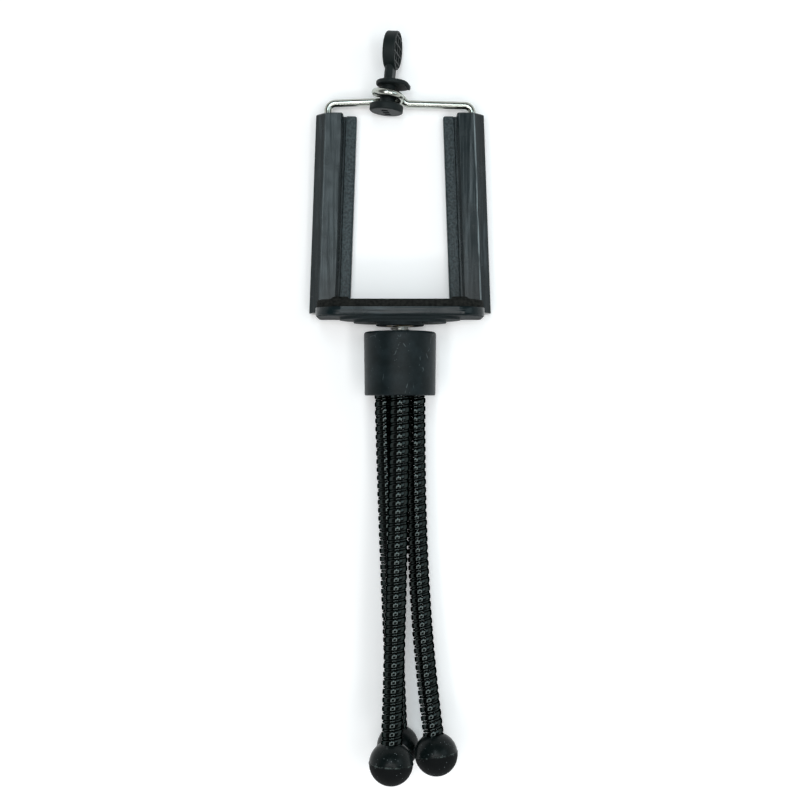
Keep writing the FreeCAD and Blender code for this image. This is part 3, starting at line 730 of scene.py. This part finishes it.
# in mm: height above the pad's top, drawn in on three sides by, and drawn in on the outer side by
LOBE_ROWS = ((-0.8, 0.0, 0.0), (0.2, 0.0, 0.0), (0.7, 0.04, 0.4),
             (1.1, 0.12, 0.8), (1.35, 0.25, 1.1), (1.5, 0.5, 1.5))
for name, sign in (("left", -1), ("right", 1)):
    rings = []
    for rise, inset, slope in LOBE_ROWS:
        near = LOBE_START + inset * MM + LOBE_CORNER
        far = LOBE_START + LOBE_WIDTH - slope * MM - LOBE_CORNER
        back = SHELF_BACK + inset * MM + LOBE_CORNER
        front = SHELF_BACK + LOBE_DEPTH - inset * MM - LOBE_CORNER
        ring = []
        for corner, (x, z) in enumerate(((far, front), (near, front), (near, back), (far, back))):
            for k in range(LOBE_CORNER_STEPS + 1):
                a = math.radians(90 * (corner + k / LOBE_CORNER_STEPS))
                out = sign * (x + LOBE_CORNER * math.cos(a))
                ring.append(Vector((out, pad_top + rise * MM, z + LOBE_CORNER * math.sin(a))))
        rings.append(ring if sign < 0 else ring[::-1])
    lobe = skinned("foam_lobe_" + name, rings, foam)
    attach(lobe, "clamp")
    print("lobe", name, len(lobe.data.polygons), "faces")

# %% [markdown]
# ## Floor and room
# The photograph looks straight down on to a bright table. More light on the table would also bleach the
# part, so the floor is matt white and has a little light of its own, for the camera, for mirror rays
# and for rays through glass. It grows with distance: near the part it leaves the shadow, and far off it
# is as white as the backdrop. The room is dim overhead, which keeps the black mouldings black, and
# white at the horizon for those same rays only.

# %% Floor
FLOOR_SIZE = 4.0
FLOOR_BELOW = 0.2 * MM
GLOW_NEAR = 0.3
GLOW_FAR = 1.5


def seen_directly(tree):
    ray = add(tree, "ShaderNodeLightPath").outputs
    mirrored = add(tree, "ShaderNodeMath", {}, {0: ray["Is Camera Ray"], 1: ray["Is Glossy Ray"]},
                   operation="MAXIMUM")
    return add(tree, "ShaderNodeMath", {}, {0: mirrored, 1: ray["Is Transmission Ray"]},
               operation="MAXIMUM")


bpy.ops.mesh.primitive_plane_add(size=FLOOR_SIZE, location=(0, 0, -FLOOR_BELOW))
floor = bpy.context.object
floor.name = "floor"
pale, tree, shader, place = start("floor_matt_white", {
    "Base Color": linear("#fafafa"), "Roughness": 0.9, "Specular IOR Level": 0.0})
reach = add(tree, "ShaderNodeVectorMath", {}, {0: place}, operation="LENGTH")
rising = add(tree, "ShaderNodeMapRange",
             {"From Min": GLOW_NEAR, "From Max": GLOW_FAR, "To Min": 0.16, "To Max": 0.85},
             {"Value": reach})
lift = add(tree, "ShaderNodeMath", {}, {0: seen_directly(tree), 1: rising}, operation="MULTIPLY")
link(tree, shader, {"Emission Strength": lift})
floor.data.materials.append(pale)
print("floor", FLOOR_SIZE, "m wide")

# %% Room
world = bpy.data.worlds.new("pale_room")
world.use_nodes = True
tree = world.node_tree
sky = tree.nodes["Background"]
sky.inputs["Color"].default_value = linear("#ffffff")
direction = add(tree, "ShaderNodeTexCoord").outputs["Generated"]
upward = add(tree, "ShaderNodeSeparateXYZ", {}, {"Vector": direction}).outputs["Z"]
lighting = add(tree, "ShaderNodeMapRange",
               {"From Min": 0.2, "From Max": 0.65, "To Min": 0.6, "To Max": 0.1},
               {"Value": upward})
backdrop = add(tree, "ShaderNodeMapRange",
               {"From Min": 0.25, "From Max": 0.45, "To Min": 1.0, "To Max": 0.1},
               {"Value": upward})
strength = add(tree, "ShaderNodeMix", {}, {"Factor": seen_directly(tree), "A": lighting, "B": backdrop})
link(tree, sky, {"Strength": strength})
bpy.context.scene.world = world
print("room", world.name)

# %% [markdown]
# ## Lamps
# What gives the wound legs their look is a frame of light overhead: each crowned turn mirrors it as a
# small hollow square. One large soft lamp would show as a filled patch, so four strip lamps make the
# frame. It hangs over the legs, so that the flat fronts of the posts mirror only two dim panels above
# the clamp. The left panel is brighter, as the left post is in the photograph. One weak window at the
# right picks out edges.

# %% The lamps' sizes and places
STRIP_WIDTH = 0.16
FRAME_HALF = 0.32
FRAME_Y = -0.3
LAMP_HEIGHT = 0.9
STRIP_WATTS_PER_METRE = 2.75
PANEL_WIDTH = 0.15
PANEL_LENGTH = 0.5
PANEL_Y = 0.25
LEFT_PANEL_WATTS = 1.7
RIGHT_PANEL_WATTS = 0.25
WINDOW_AT = (0.45, 0.1, 0.45)
WINDOW_SIZE = 0.35
WINDOW_WATTS = 0.7
WHITE = "#ffffff"
DAYLIGHT = "#e4f6fc"
across = (2 * FRAME_HALF + STRIP_WIDTH, STRIP_WIDTH)
along = (STRIP_WIDTH, 2 * FRAME_HALF - STRIP_WIDTH)
panel = (PANEL_WIDTH, PANEL_LENGTH)
lamps = []
for name, at, size in (
    ("strip_far", (0, FRAME_Y + FRAME_HALF, LAMP_HEIGHT), across),
    ("strip_near", (0, FRAME_Y - FRAME_HALF, LAMP_HEIGHT), across),
    ("strip_left", (-FRAME_HALF, FRAME_Y, LAMP_HEIGHT), along),
    ("strip_right", (FRAME_HALF, FRAME_Y, LAMP_HEIGHT), along),
):
    lamps.append((name, at, size, STRIP_WATTS_PER_METRE * max(size), WHITE))
for name, x, watts in (
    ("dim_panel_left", -PANEL_WIDTH / 2, LEFT_PANEL_WATTS),
    ("dim_panel_right", PANEL_WIDTH / 2, RIGHT_PANEL_WATTS),
):
    lamps.append((name, (x, PANEL_Y, LAMP_HEIGHT), panel, watts, DAYLIGHT))
lamps.append(("window", WINDOW_AT, (WINDOW_SIZE, WINDOW_SIZE), WINDOW_WATTS, DAYLIGHT))
print("lamps:", len(lamps), "total power", round(sum(lamp[3] for lamp in lamps), 2), "W")

# %% Hang the lamps
for name, at, size, watts, colour in lamps:
    lamp = bpy.data.lights.new(name, "AREA")
    lamp.shape = "RECTANGLE"
    lamp.size, lamp.size_y = size
    lamp.energy = watts
    lamp.color = linear(colour)[:3]
    holder = bpy.data.objects.new(name, lamp)
    holder.location = at
    if name == "window":
        holder.rotation_euler = (-Vector(at)).to_track_quat("-Z", "Y").to_euler()
    bpy.context.scene.collection.objects.link(holder)
print("hung", len(lamps), "lamps")

# %% [markdown]
# ## Camera
# The camera looks straight down, as in the photograph. Its height and its field of view frame the whole
# length with about the photograph's perspective. A wider field from nearer by would show more of the
# sides of the tall pieces, and a narrower one from further off none of them.

# %% Camera
CAMERA_HEIGHT = 0.385
FIELD_OF_VIEW = math.radians(38.3)
camera_data = bpy.data.cameras.new("camera")
camera_data.sensor_fit = "HORIZONTAL"
camera_data.sensor_width = 36.0
camera_data.angle = FIELD_OF_VIEW
camera = bpy.data.objects.new("camera", camera_data)
camera.location = (0.0, 0.0, CAMERA_HEIGHT)
bpy.context.scene.collection.objects.link(camera)
bpy.context.scene.camera = camera
bpy.context.scene.view_settings.view_transform = "Standard"
print("camera", round(camera.location.z / MM), "mm above the table")
